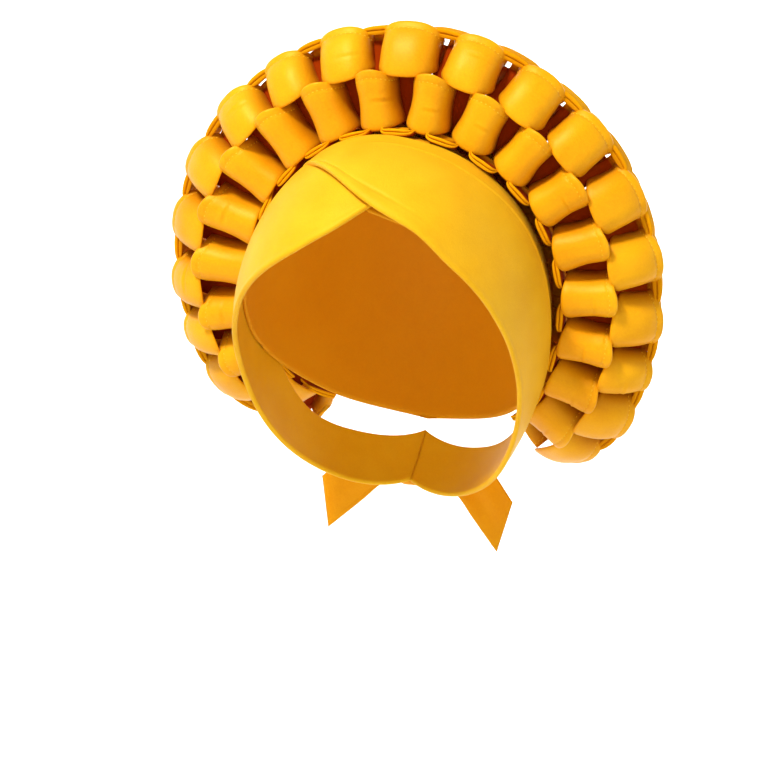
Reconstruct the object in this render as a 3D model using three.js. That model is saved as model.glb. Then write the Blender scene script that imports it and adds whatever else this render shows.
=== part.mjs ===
// A gele head tie that is worn as a cap: a cloth dome, two wraps that cross over the forehead,
// a tie at the nape, and a wide round ruff woven from folded strips and ribs.
// Millimetres, +Z up, the wearer looks along -Y. The origin is the crown of the head, where the
// inside of the cap rests.

import * as THREE from "three";

// The head that the cap is cut for, measured from its widest level
const HEAD_WIDTH = 152;
const HEAD_LENGTH = 194;
const CROWN_HEIGHT = 94;
const NAPE_DEPTH = 112;

// Cloth and clearances
const CAP_EASE = 0.5;
const CAP_WALL = 2;
const WRAP_THICKNESS = 2.6;
const STRIP_THICKNESS = 2.8;
const RIB_THICKNESS = 2.4;
const RIB_WIDTH = 3.8;
const SEAM_GAP = 0.4;
const WEAVE_GAP = 0.55;
const LAY_GAP = 0.9;

// The ruff: it stands round the head and is open at the nape. Two loops of one strip are a loop turn
// apart, and ribs pass at every half of it, so many on each side of the top one.
const LOOP_TURN = THREE.MathUtils.degToRad(16.05);
const RIB_STEPS_EACH_SIDE = 18;
const RUFF_TILT = THREE.MathUtils.degToRad(15);
const RUFF_TWIST = THREE.MathUtils.degToRad(-1.2);
const RUFF_BEHIND = 9;
const RUFF_ABOVE = 16;
const RUFF_STANDOFF = 7.6;
const STRIP_WIDTH = 26;
const LOOP_LIFT = 13;
const LOOP_DIP = 7;

// A rib's root follows this share of the cap's slope, and a bend thickens it no more than this limit.
const ROOT_SLANT = 0.8;
const BEND_LIMIT = 0.6;

// The tie at the nape
const KNOT_WIDTH = 30;
const KNOT_HEIGHT = 22;
const KNOT_DEPTH = 17;
const TAIL_WIDTH = 30;
const TAIL_THICKNESS = 2.2;
const TAIL_LENGTH = 50;

// The groove round the knot's middle: its depth as a share of the knot, and its width as a share of
// the knot's width
const GROOVE_DEPTH = 0.16;
const GROOVE_WIDTH = 0.16;

// The nape of the head: the knot's place, from the face's axis
const NAPE_ANGLE = THREE.MathUtils.degToRad(130);

// Faces: how many pieces each surface is cut into
const CAP_SECTORS = 36;
const CAP_ROWS = 8;
const WRAP_TURNS = 34;
const WRAP_COLUMNS = 7;
const KNOT_SECTORS = 16;
const KNOT_ROWS = 10;
const TAIL_STEPS = 9;

const CROWN_TO_LEVEL = CROWN_HEIGHT + CAP_EASE;
const CAP_OUTSIDE = CAP_EASE + CAP_WALL;
const WRAP_INSIDE = CAP_OUTSIDE + LAY_GAP;
const WRAP_OUTSIDE = WRAP_INSIDE + WRAP_THICKNESS;

const toRad = THREE.MathUtils.degToRad;

// The course of the ruff round the head, from the top to its end at the nape. turn is in degrees,
// setback is a share of the head's length, stand of the standoff, scale of the ruff's section,
// and flare leans its section backward.
const RUFF_COURSE = [
  { turn: 0, setback: 0, stand: 0.08, scale: 1, flare: 0 },
  { turn: 8, setback: 0, stand: 0.08, scale: 1, flare: 0 },
  { turn: 30, setback: 0, stand: 0.4, scale: 1, flare: 0 },
  { turn: 60, setback: 0, stand: 1, scale: 1, flare: 0 },
  { turn: 90, setback: 0, stand: 1, scale: 1, flare: 0 },
  { turn: 100, setback: 0, stand: 0.85, scale: 1, flare: 0 },
  { turn: 118, setback: 0.02, stand: 0.5, scale: 0.98, flare: 0 },
  { turn: 132, setback: 0.075, stand: 0.35, scale: 0.92, flare: 0 },
  { turn: 150, setback: 0.2, stand: 0.4, scale: 0.82, flare: 0.1 },
];

// The strips of the ruff's section, from the head outward. out, back, base and crest are shares of
// the strip width, lean is the turn of the strip's flat in degrees, lift and dip are shares of the
// loop's lift and dip, and phase is the place of the first loop in loops.
const RUFF_STRIPS = [
  { name: "strip_throat", out: 0.22, back: 1.28, lean: -90, base: 0.7, crest: 0.7,
    lift: 0.36, dip: 0.66, phase: 0 },
  { name: "strip_inner", out: 0.62, back: 0.5, lean: 8, base: 0.72, crest: 1,
    lift: 1, dip: 1, phase: 0.5 },
  { name: "strip_outer", out: 1.31, back: 0.88, lean: 32, base: 0.72, crest: 1,
    lift: 1, dip: 1, phase: 0 },
  { name: "strip_rim", out: 1.75, back: 1.28, lean: 78, base: 0.52, crest: 0.52,
    lift: 0.36, dip: 0.66, phase: 0.5 },
];

// Half of a loop, from its crest to the dip beside it: along is in loops from the crest, height is 1
// at the crest and 0 in the dip. The walls stand steep, and the dips are flat where the ribs pass.
const LOOP_SHAPE = [
  { along: 0.07, height: 1 },
  { along: 0.22, height: 0.9 },
  { along: 0.325, height: 0.5 },
  { along: 0.345, height: 0 },
];

// Each wrap lies on the head form. turn goes round the face from the top of the forehead, front and
// rear are the angles from the face's axis to the wrap's two edges, all in degrees, and over is 1
// where the wrap lies on the other one.
const OVER_WRAP = [
  { turn: -34, front: 77, rear: 82, over: 1 },
  { turn: -24, front: 60, rear: 80, over: 1 },
  { turn: -8, front: 44, rear: 78, over: 1 },
  { turn: 7, front: 37, rear: 78, over: 1 },
  { turn: 34, front: 36, rear: 82, over: 1 },
  { turn: 54, front: 39, rear: 88, over: 0 },
  { turn: 79, front: 50, rear: 95, over: 0 },
  { turn: 95, front: 61, rear: 100, over: 0 },
  { turn: 115, front: 77, rear: 107, over: 0 },
  { turn: 135, front: 92, rear: 117, over: 0 },
  { turn: 155, front: 108, rear: 130, over: 0 },
  { turn: 179, front: 122, rear: 140, over: 0 },
];
const UNDER_WRAP = [
  { turn: 32, front: 72, rear: 80, over: 0 },
  { turn: 20, front: 52, rear: 78, over: 0 },
  { turn: 7, front: 38, rear: 77, over: 0 },
  { turn: -4, front: 31, rear: 77, over: 0 },
  { turn: -22, front: 27, rear: 80, over: 0 },
  { turn: -47, front: 28, rear: 87, over: 0 },
  { turn: -68, front: 35, rear: 92, over: 0 },
  { turn: -90, front: 50, rear: 98, over: 0 },
  { turn: -112, front: 73, rear: 106, over: 0 },
  { turn: -135, front: 92, rear: 117, over: 0 },
  { turn: -155, front: 108, rear: 130, over: 0 },
  { turn: -179, front: 122, rear: 140, over: 0 },
];

// The cap's lower edge: azimuth from the face in degrees and drop from the crown in degrees.
const CAP_RIM = [
  { azimuth: 0, drop: 52 },
  { azimuth: 45, drop: 66 },
  { azimuth: 90, drop: 104 },
  { azimuth: 135, drop: 122 },
  { azimuth: 180, drop: 127 },
];

// Each tie end leaves the side of the knot and hangs outward and down: aside and down are shares
// of its length, forward of the knot's depth, and spread of its width.
const TAIL_COURSE = [
  { aside: 0, down: 0, forward: 0, spread: 0.45 },
  { aside: 0.2, down: 0.02, forward: -0.05, spread: 0.75 },
  { aside: 0.42, down: 0.16, forward: 0, spread: 1 },
  { aside: 0.76, down: 0.5, forward: 0.25, spread: 1 },
];
const TAIL_CUT = new THREE.Vector3(-0.21, 0, -0.98);

// Reads a column of a table at a key, smoothly between its rows.
function readTable(table, key, value, at) {
  const rows = [...table].sort((a, b) => a[key] - b[key]);
  if (at <= rows[0][key]) return rows[0][value];
  const last = rows.length - 1;
  if (at >= rows[last][key]) return rows[last][value];
  const i = rows.findIndex((row) => row[key] > at) - 1;
  const slope = (a, b) => (b[value] - a[value]) / (b[key] - a[key]);
  const here = slope(rows[i], rows[i + 1]);
  const before = i > 0 ? (slope(rows[i - 1], rows[i]) + here) / 2 : here;
  const after = i + 2 <= last ? (slope(rows[i + 1], rows[i + 2]) + here) / 2 : here;
  const step = rows[i + 1][key] - rows[i][key];
  const u = (at - rows[i][key]) / step;
  const hermite = [2 * u ** 3 - 3 * u ** 2 + 1, u ** 3 - 2 * u ** 2 + u];
  const far = [-2 * u ** 3 + 3 * u ** 2, u ** 3 - u ** 2];
  return hermite[0] * rows[i][value] + hermite[1] * step * before
    + far[0] * rows[i + 1][value] + far[1] * step * after;
}

// The radii of the head form at a distance off the skin.
function formRadii(lift) {
  return {
    x: HEAD_WIDTH / 2 + lift,
    y: HEAD_LENGTH / 2 + lift,
    up: CROWN_HEIGHT + lift,
    down: NAPE_DEPTH + lift,
  };
}

// How far a point lies out of the form: under 1 inside it, over 1 outside.
function formLevel(point, lift) {
  const radii = formRadii(lift);
  const vertical = point.z > 0 ? radii.up : radii.down;
  return Math.hypot(point.x / radii.x, point.y / radii.y, point.z / vertical);
}

// The point where a direction from the form's centre leaves it.
function onForm(direction, lift) {
  return direction.clone().divideScalar(formLevel(direction, lift));
}

// The distance from a point inside the form along a direction to the form's surface.
function reachForm(from, direction, lift) {
  let near = 0;
  let far = HEAD_LENGTH * 2;
  for (let i = 0; i < 40; i += 1) {
    const middle = (near + far) / 2;
    const point = from.clone().addScaledVector(direction, middle);
    if (formLevel(point, lift) < 1) near = middle;
    else far = middle;
  }
  return near;
}

// The distance from a point outside the form along a direction to the form's surface.
function gapToForm(from, direction, lift) {
  const across = from.clone().projectOnVector(direction).length();
  const inside = from.clone().addScaledVector(direction, across);
  return across - reachForm(inside, direction.clone().negate(), lift);
}

// The direction at a turn round the face's axis and an angle off that axis.
function faceDirection(turn, angle) {
  return new THREE.Vector3(
    Math.sin(angle) * Math.sin(turn),
    -Math.cos(angle),
    Math.sin(angle) * Math.cos(turn),
  );
}

// A closed geometry whose faces point out, from points and triangles.
function closedGeometry(points, triangles) {
  let volume = 0;
  for (const [a, b, c] of triangles) {
    volume += points[a].dot(new THREE.Vector3().crossVectors(points[b], points[c]));
  }
  const facing = volume > 0 ? triangles : triangles.map(([a, b, c]) => [a, c, b]);
  const geometry = new THREE.BufferGeometry();
  geometry.setFromPoints(points);
  geometry.setIndex(facing.flat());
  geometry.computeVertexNormals();
  return geometry;
}

// Joins equal rings of points into a closed body, with its two ends shut.
function loft(rings) {
  const count = rings[0].length;
  const points = rings.flat();
  const triangles = [];
  for (let i = 0; i + 1 < rings.length; i += 1) {
    for (let j = 0; j < count; j += 1) {
      const a = i * count + j;
      const b = i * count + ((j + 1) % count);
      triangles.push([a, b, b + count], [a, b + count, a + count]);
    }
  }
  const end = (rings.length - 1) * count;
  for (let j = 1; j + 1 < count; j += 1) {
    triangles.push([0, j + 1, j], [end, end + j, end + j + 1]);
  }
  return closedGeometry(points, triangles);
}

// A four-sided ring of points: a flat section of cloth.
function flatSection(centre, across, through, width, thickness) {
  const corner = (a, t) => centre.clone()
    .addScaledVector(across, a * width / 2)
    .addScaledVector(through, t * thickness / 2);
  return [corner(-1, -1), corner(1, -1), corner(1, 1), corner(-1, 1)];
}

// The ruff's own directions: out and normal at a turn round its axis
const RUFF_AXIS = new THREE.Vector3(0, -Math.cos(RUFF_TILT), -Math.sin(RUFF_TILT));
const RUFF_UP = new THREE.Vector3(0, -Math.sin(RUFF_TILT), Math.cos(RUFF_TILT));
const RUFF_CENTRE = new THREE.Vector3(0, RUFF_BEHIND, RUFF_ABOVE);

// The foot of the ruff's section at a turn, just off the cap and the wraps.
function ruffFoot(turn) {
  const degrees = Math.abs(THREE.MathUtils.radToDeg(turn));
  const setback = readTable(RUFF_COURSE, "turn", "setback", degrees) * HEAD_LENGTH;
  const stand = readTable(RUFF_COURSE, "turn", "stand", degrees) * RUFF_STANDOFF;
  const outward = RUFF_UP.clone().multiplyScalar(Math.cos(turn));
  outward.x += Math.sin(turn);
  const from = RUFF_CENTRE.clone().addScaledVector(RUFF_AXIS, -setback);
  const reach = reachForm(from, outward, CAP_OUTSIDE) + stand;
  return { outward, point: from.addScaledVector(outward, reach) };
}

// The frame of the ruff's section at a turn: its foot, its directions and its scale.
function ruffFrame(turn) {
  const degrees = Math.abs(THREE.MathUtils.radToDeg(turn));
  const step = toRad(0.5);
  const { outward, point } = ruffFoot(turn);
  const along = ruffFoot(turn + step).point.sub(ruffFoot(turn - step).point).normalize();
  outward.y += readTable(RUFF_COURSE, "turn", "flare", degrees);
  const out = outward.addScaledVector(along, -outward.dot(along)).normalize();
  const front = new THREE.Vector3().crossVectors(along, out).normalize();
  if (front.dot(RUFF_AXIS) < 0) front.negate();
  return { point, out, front, scale: readTable(RUFF_COURSE, "turn", "scale", degrees) };
}

// A point of the ruff's section, from its distances outward and backward.
function ruffPoint(frame, out, back) {
  return frame.point.clone()
    .addScaledVector(frame.out, out * frame.scale)
    .addScaledVector(frame.front, -back * frame.scale);
}

// The strips run past the last ribs by this share of a loop.
const STRIP_PAST_RIB = 0.2;
const RUFF_END = RIB_STEPS_EACH_SIDE / 2 + STRIP_PAST_RIB;

// The places of a strip's sections along the ruff, in loops, with the height of each.
function stripPlaces(phase) {
  const places = [];
  for (let loop = -RIB_STEPS_EACH_SIDE; loop <= RIB_STEPS_EACH_SIDE; loop += 1) {
    for (const { along, height } of LOOP_SHAPE) {
      places.push({ place: loop + phase - along, height });
      places.push({ place: loop + phase + along, height });
    }
  }
  return places
    .filter(({ place }) => Math.abs(place) <= RUFF_END)
    .sort((a, b) => a.place - b.place);
}

// One woven strip of the ruff: it rises in a loop over every second rib and dips under the others.
function stripGeometry(strip) {
  const lean = toRad(strip.lean);
  const lift = strip.lift * LOOP_LIFT;
  const dip = strip.dip * LOOP_DIP;
  return loft(stripPlaces(strip.phase).map(({ place, height }) => {
    const frame = ruffFrame(place * LOOP_TURN + RUFF_TWIST);
    const rise = (lift + dip) * height - dip;
    const width = STRIP_WIDTH * (strip.base + (strip.crest - strip.base) * Math.max(rise, 0) / lift);
    const across = frame.out.clone().multiplyScalar(Math.cos(lean))
      .addScaledVector(frame.front, -Math.sin(lean));
    const through = frame.out.clone().multiplyScalar(Math.sin(lean))
      .addScaledVector(frame.front, Math.cos(lean));
    const centre = ruffPoint(frame, strip.out * STRIP_WIDTH, strip.back * STRIP_WIDTH)
      .addScaledVector(through, rise * frame.scale);
    const thickness = STRIP_THICKNESS * frame.scale;
    return flatSection(centre, across, through, width * frame.scale, thickness);
  }));
}

// The points of a rib in the ruff's section, from the cap to the rim. An even rib meets the outer
// strip under a loop, an odd one the inner strip. across is in halves of the strip's base width.
// level is -1 on the front of the strip's dips, 0 in its flat, and above that a share of the loop
// dip in front of it. tuck moves a point toward the head, clear of the strip beside it.
const RIB_POINTS = [
  { strip: "strip_throat", across: -1.75, level: 0, tuck: 0, ribs: "both" },
  { strip: "strip_throat", across: 0.9, level: 0, tuck: 0, ribs: "both" },
  { strip: "strip_inner", across: -1, level: -1, tuck: 1, ribs: "both" },
  { strip: "strip_inner", across: 1.02, level: -1, tuck: 0, ribs: "both" },
  { strip: "strip_outer", across: 0, level: 0.85, tuck: 0, ribs: "even" },
  { strip: "strip_rim", across: -1.35, level: 0.2, tuck: 0, ribs: "even" },
  { strip: "strip_rim", across: 1.1, level: -0.38, tuck: 0, ribs: "even" },
  { strip: "strip_outer", across: 1.05, level: -1, tuck: 0, ribs: "odd" },
  { strip: "strip_rim", across: 1.1, level: 0.2, tuck: 0, ribs: "odd" },
];

// The line of a rib in the ruff's section, as distances outward and backward.
function ribLine(kind) {
  const seat = LOOP_DIP - STRIP_THICKNESS / 2 - WEAVE_GAP - RIB_THICKNESS / 2;
  const aside = STRIP_THICKNESS / 2 + 2 * WEAVE_GAP + RIB_THICKNESS / 2;
  return RIB_POINTS.filter(({ ribs }) => ribs === "both" || ribs === kind).map((row) => {
    const strip = RUFF_STRIPS.find(({ name }) => name === row.strip);
    const lean = toRad(strip.lean);
    const shift = row.across * STRIP_WIDTH * strip.base / 2;
    const level = row.level * (row.level < 0 ? seat : LOOP_DIP);
    const out = strip.out * STRIP_WIDTH + shift * Math.cos(lean) + level * Math.sin(lean);
    const back = strip.back * STRIP_WIDTH + shift * Math.sin(lean) - level * Math.cos(lean);
    return [out - row.tuck * aside, back];
  });
}

// The direction out of the form at a point near it.
function formNormal(point, lift) {
  const radii = formRadii(lift);
  const vertical = point.z > 0 ? radii.up : radii.down;
  return new THREE.Vector3(
    point.x / radii.x ** 2,
    point.y / radii.y ** 2,
    point.z / vertical ** 2,
  ).normalize();
}

// One rib, from its seat on the cap to the rim.
function ribGeometry(step) {
  const frame = ruffFrame(step * LOOP_TURN / 2 + RUFF_TWIST);
  const line = ribLine(step % 2 === 0 ? "even" : "odd").map(([out, back]) => ruffPoint(frame, out, back));
  const lift = CAP_OUTSIDE + SEAM_GAP;
  const toCap = formNormal(line[0], lift).negate();
  const inward = frame.out.clone().multiplyScalar(toCap.dot(frame.out))
    .addScaledVector(frame.front, toCap.dot(frame.front) * ROOT_SLANT).normalize();
  line.unshift(line[0].clone().addScaledVector(inward, gapToForm(line[0], inward, lift)));
  const side = new THREE.Vector3().crossVectors(frame.out, frame.front).normalize();
  const rings = line.map((point, i) => {
    const before = line[Math.max(i - 1, 0)];
    const after = line[Math.min(i + 1, line.length - 1)];
    const into = point.clone().sub(before).normalize();
    const outOf = after.clone().sub(point).normalize();
    const along = into.clone().add(outOf).normalize();
    const through = new THREE.Vector3().crossVectors(along, side).normalize();
    const turning = Math.max(along.dot(i === 0 ? outOf : into), BEND_LIMIT);
    const thickness = RIB_THICKNESS * frame.scale / turning;
    return flatSection(point, side, through, RIB_WIDTH * frame.scale, thickness);
  });
  return loft(rings);
}

// A sheet of cloth with its thickness: inner and outer grids of points, joined along their edges.
function sheetGeometry(inner, outer) {
  const rows = inner.length;
  const columns = inner[0].length;
  const points = [...inner.flat(), ...outer.flat()];
  const offset = rows * columns;
  const triangles = [];
  const at = (i, j) => i * columns + j;
  for (let i = 0; i + 1 < rows; i += 1) {
    for (let j = 0; j + 1 < columns; j += 1) {
      const [a, b, c, d] = [at(i, j), at(i, j + 1), at(i + 1, j + 1), at(i + 1, j)];
      triangles.push([a, b, c], [a, c, d]);
      triangles.push([a + offset, c + offset, b + offset], [a + offset, d + offset, c + offset]);
    }
  }
  const edge = [];
  for (let j = 0; j < columns; j += 1) edge.push(at(0, j));
  for (let i = 1; i < rows; i += 1) edge.push(at(i, columns - 1));
  for (let j = columns - 2; j >= 0; j -= 1) edge.push(at(rows - 1, j));
  for (let i = rows - 2; i > 0; i -= 1) edge.push(at(i, 0));
  edge.forEach((a, i) => {
    const b = edge[(i + 1) % edge.length];
    triangles.push([a, b + offset, b], [a, a + offset, b + offset]);
  });
  return closedGeometry(points, triangles);
}

// A wrap that lies on the cap and the head, between its front and rear edges.
function wrapGeometry(table) {
  const turns = WRAP_TURNS;
  const columns = WRAP_COLUMNS;
  const first = table[0].turn;
  const last = table[table.length - 1].turn;
  const grid = (thickness) => {
    const rows = [];
    for (let i = 0; i <= turns; i += 1) {
      const turn = first + (last - first) * i / turns;
      const front = readTable(table, "turn", "front", turn);
      const rear = readTable(table, "turn", "rear", turn);
      const over = THREE.MathUtils.clamp(readTable(table, "turn", "over", turn), 0, 1);
      const lift = WRAP_INSIDE + over * (WRAP_THICKNESS + SEAM_GAP) + thickness;
      const row = [];
      for (let j = 0; j <= columns; j += 1) {
        const angle = front + (rear - front) * j / columns;
        row.push(onForm(faceDirection(toRad(turn), toRad(angle)), lift));
      }
      rows.push(row);
    }
    return rows;
  };
  return sheetGeometry(grid(0), grid(WRAP_THICKNESS));
}

// The cap: a dome of cloth over the crown, longer behind than in front.
function capGeometry() {
  const sectors = CAP_SECTORS;
  const rows = CAP_ROWS;
  const points = [];
  const triangles = [];
  const shells = [CAP_OUTSIDE, CAP_EASE].map((lift) => {
    const pole = points.length;
    points.push(onForm(new THREE.Vector3(0, 0, 1), lift));
    const rings = [];
    for (let i = 1; i <= rows; i += 1) {
      const ring = [];
      for (let j = 0; j < sectors; j += 1) {
        const azimuth = 2 * Math.PI * j / sectors;
        const fromBack = Math.abs(THREE.MathUtils.radToDeg(azimuth) - 180);
        const rim = toRad(readTable(CAP_RIM, "azimuth", "drop", 180 - fromBack));
        const drop = rim * i / rows;
        ring.push(points.length);
        points.push(onForm(new THREE.Vector3(
          Math.sin(drop) * Math.sin(azimuth),
          -Math.sin(drop) * Math.cos(azimuth),
          Math.cos(drop),
        ), lift));
      }
      rings.push(ring);
    }
    return { pole, rings };
  });
  shells.forEach(({ pole, rings }, shell) => {
    const push = (a, b, c) => triangles.push(shell === 0 ? [a, b, c] : [a, c, b]);
    for (let j = 0; j < sectors; j += 1) {
      const next = (j + 1) % sectors;
      push(pole, rings[0][j], rings[0][next]);
      for (let i = 0; i + 1 < rows; i += 1) {
        push(rings[i][j], rings[i + 1][j], rings[i + 1][next]);
        push(rings[i][j], rings[i + 1][next], rings[i][next]);
      }
    }
  });
  const outer = shells[0].rings[rows - 1];
  const inner = shells[1].rings[rows - 1];
  for (let j = 0; j < sectors; j += 1) {
    const next = (j + 1) % sectors;
    triangles.push([outer[j], inner[j], inner[next]], [outer[j], inner[next], outer[next]]);
  }
  return closedGeometry(points, triangles);
}

// The nape: the point between the ends of the two wraps, and the direction out of it.
const NAPE_OUT = faceDirection(Math.PI, NAPE_ANGLE);
const KNOT_CENTRE = onForm(NAPE_OUT, WRAP_OUTSIDE + SEAM_GAP)
  .addScaledVector(NAPE_OUT, KNOT_DEPTH * (1 - GROOVE_DEPTH) / 2);

// The knot: a rounded lump with a groove round its middle, lying on the ends of the wraps.
function knotGeometry() {
  const geometry = new THREE.SphereGeometry(0.5, KNOT_SECTORS, KNOT_ROWS);
  geometry.deleteAttribute("normal");
  geometry.deleteAttribute("uv");
  const position = geometry.getAttribute("position");
  const point = new THREE.Vector3();
  for (let i = 0; i < position.count; i += 1) {
    point.fromBufferAttribute(position, i);
    const waist = 1 - GROOVE_DEPTH * Math.exp(-((point.x / GROOVE_WIDTH) ** 2));
    point.set(point.x * KNOT_WIDTH, point.y * KNOT_DEPTH * waist, point.z * KNOT_HEIGHT * waist);
    position.setXYZ(i, point.x, point.y, point.z);
  }
  geometry.computeVertexNormals();
  return geometry;
}

// One tie end: a flat ribbon that leaves the knot to one side and ends in a slanted cut.
function tailGeometry(side) {
  const start = KNOT_CENTRE.x + KNOT_WIDTH / 2 + SEAM_GAP;
  const line = TAIL_COURSE.map(({ aside, down, forward }) => new THREE.Vector3(
    side * (start + aside * TAIL_LENGTH),
    KNOT_CENTRE.y - forward * KNOT_DEPTH,
    KNOT_CENTRE.z - down * TAIL_LENGTH,
  ));
  const curve = new THREE.CatmullRomCurve3(line);
  const across = TAIL_CUT.clone().normalize();
  across.x *= side;
  const rings = [];
  for (let i = 0; i <= TAIL_STEPS; i += 1) {
    const u = i / TAIL_STEPS;
    const through = new THREE.Vector3().crossVectors(curve.getTangent(u), across).normalize();
    const rows = TAIL_COURSE.map(({ spread }, row) => ({ row: row / (TAIL_COURSE.length - 1), spread }));
    const width = TAIL_WIDTH * readTable(rows, "row", "spread", u);
    rings.push(flatSection(curve.getPoint(u), across, through, width, TAIL_THICKNESS));
  }
  return loft(rings);
}

// Colours and finish of the cloth
const RUFF_CLOTH = { color: 0xf0ab1c, roughness: 0.42, metalness: 0 };
const WRAP_CLOTH = { color: 0xf6bd2c, roughness: 0.46, metalness: 0 };
const CAP_CLOTH = { color: 0xe6a21c, roughness: 0.5, metalness: 0 };
const TIE_CLOTH = { color: 0xeda41f, roughness: 0.5, metalness: 0 };

function addPiece(parent, name, geometry, cloth) {
  const mesh = new THREE.Mesh(geometry, new THREE.MeshStandardMaterial(cloth));
  mesh.name = name;
  parent.add(mesh);
  return mesh;
}

const headTie = new THREE.Group();
const onHead = new THREE.Group();
onHead.position.z = -CROWN_TO_LEVEL;
headTie.add(onHead);

addPiece(onHead, "cap", capGeometry(), CAP_CLOTH);
addPiece(onHead, "wrap_under", wrapGeometry(UNDER_WRAP), WRAP_CLOTH);
addPiece(onHead, "wrap_over", wrapGeometry(OVER_WRAP), WRAP_CLOTH);

const ruff = new THREE.Group();
onHead.add(ruff);
for (const strip of RUFF_STRIPS) {
  addPiece(ruff, strip.name, stripGeometry(strip), RUFF_CLOTH);
}
for (let step = -RIB_STEPS_EACH_SIDE; step <= RIB_STEPS_EACH_SIDE; step += 1) {
  const number = String(step + RIB_STEPS_EACH_SIDE + 1).padStart(2, "0");
  addPiece(ruff, `rib_${number}`, ribGeometry(step), RUFF_CLOTH);
}

const tie = new THREE.Group();
onHead.add(tie);
const knot = addPiece(tie, "tie_knot", knotGeometry(), TIE_CLOTH);
knot.position.copy(KNOT_CENTRE);
knot.rotation.x = -(NAPE_ANGLE - Math.PI / 2);
addPiece(tie, "tie_tail_left", tailGeometry(1), TIE_CLOTH);
addPiece(tie, "tie_tail_right", tailGeometry(-1), TIE_CLOTH);

export default headTie;
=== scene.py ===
"""The looks of a tied gele head tie: padded woven ruff, crossed wraps, cap, knot and tie ends."""

import math
import random

import bmesh
import bpy
import numpy as np
from mathutils import Matrix, Vector


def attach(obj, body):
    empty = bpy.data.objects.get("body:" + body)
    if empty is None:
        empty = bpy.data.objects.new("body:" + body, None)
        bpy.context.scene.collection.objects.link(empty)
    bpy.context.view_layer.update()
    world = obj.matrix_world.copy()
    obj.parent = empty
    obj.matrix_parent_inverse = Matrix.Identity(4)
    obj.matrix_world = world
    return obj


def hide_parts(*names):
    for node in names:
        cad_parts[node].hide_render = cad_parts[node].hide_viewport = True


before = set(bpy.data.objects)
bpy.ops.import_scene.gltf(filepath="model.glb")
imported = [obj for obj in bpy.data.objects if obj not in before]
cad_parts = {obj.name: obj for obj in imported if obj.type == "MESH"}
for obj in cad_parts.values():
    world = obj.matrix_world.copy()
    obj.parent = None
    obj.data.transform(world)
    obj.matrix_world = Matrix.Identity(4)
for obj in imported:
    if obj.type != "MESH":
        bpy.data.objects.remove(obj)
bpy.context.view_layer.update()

MM = 0.001
MERGE_DISTANCE, DISSOLVE_DISTANCE = 2e-6, 1e-6

# The head form, in millimetres from its widest level, and the cloth on it
HALF_WIDTH, HALF_LENGTH, CROWN, NAPE = 76.0, 97.0, 94.0, 112.0
CAP_EASE, CAP_WALL, LAY_GAP, WRAP_THICKNESS, SEAM_GAP = 0.5, 2.0, 0.9, 2.6, 0.4
LEVEL_DROP = CROWN + CAP_EASE
CAP_OUTSIDE = CAP_EASE + CAP_WALL
WRAP_INSIDE = CAP_OUTSIDE + LAY_GAP

# The ruff. Its course goes by the turn from the top in degrees: how far back it sets as a share of
# the head's length, its share of the standoff from the cap, its section's scale, and its flare back.
LOOP_TURN = math.radians(16.05)
STEPS_EACH_SIDE = 18
TILT = math.radians(15)
TWIST = math.radians(-1.2)
BEHIND, ABOVE, STANDOFF = 9.0, 16.0, 7.6
COURSE = {
    "turn": [0, 8, 30, 60, 90, 100, 118, 132, 150],
    "setback": [0, 0, 0, 0, 0, 0, 0.02, 0.075, 0.2],
    "stand": [0.08, 0.08, 0.4, 1, 1, 0.85, 0.5, 0.35, 0.4],
    "scale": [1, 1, 1, 1, 1, 1, 0.98, 0.92, 0.82],
    "flare": [0, 0, 0, 0, 0, 0, 0, 0, 0.1],
}
RUFF_AXIS = np.array([0, -math.cos(TILT), -math.sin(TILT)])
RUFF_UP = np.array([0, -math.sin(TILT), math.cos(TILT)])
RUFF_CENTRE = np.array([0, BEHIND, ABOVE])


# Curves and steps

def smooth(keys, values, at):
    """A value at a key, smoothly between the listed ones; at is an array."""
    keys, values = np.array(keys, float), np.array(values, float)
    order = np.argsort(keys)
    keys, values = keys[order], values[order]
    at = np.clip(np.asarray(at, float), keys[0], keys[-1])
    slopes = np.diff(values) / np.diff(keys)
    tangents = np.empty(len(keys))
    tangents[0], tangents[-1] = slopes[0], slopes[-1]
    tangents[1:-1] = (slopes[:-1] + slopes[1:]) / 2
    i = np.clip(np.searchsorted(keys, at, side="right") - 1, 0, len(keys) - 2)
    step = keys[i + 1] - keys[i]
    u = (at - keys[i]) / step
    return (
        (2 * u**3 - 3 * u**2 + 1) * values[i]
        + (u**3 - 2 * u**2 + u) * step * tangents[i]
        + (-2 * u**3 + 3 * u**2) * values[i + 1]
        + (u**3 - u**2) * step * tangents[i + 1]
    )


def table(columns, key, value, at):
    return smooth(columns[key], columns[value], at)


def ramp(x, start, end):
    """0 up to start, 1 from end on, straight between them; end may be the smaller one."""
    return np.clip((x - start) / (end - start), 0, 1)


def bell(x, centre, width):
    return np.exp(-(((x - centre) / width) ** 2))


def soft_step(x, centre, width):
    """A smooth step from 0 to 1, or from 1 to 0 where the width is negative."""
    return 1 / (1 + np.exp(-(x - centre) / width))


def rounded(share):
    """A quarter circle's height at a share of its width."""
    return np.sqrt(np.clip(1 - (1 - share) ** 2, 0, 1))


def unit(v):
    return v / np.maximum(np.linalg.norm(v, axis=-1, keepdims=True), 1e-15)


def run_along(points):
    """The distance along a line at each of its points."""
    return np.concatenate([[0], np.cumsum(np.linalg.norm(np.diff(points, axis=0), axis=1))])


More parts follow.
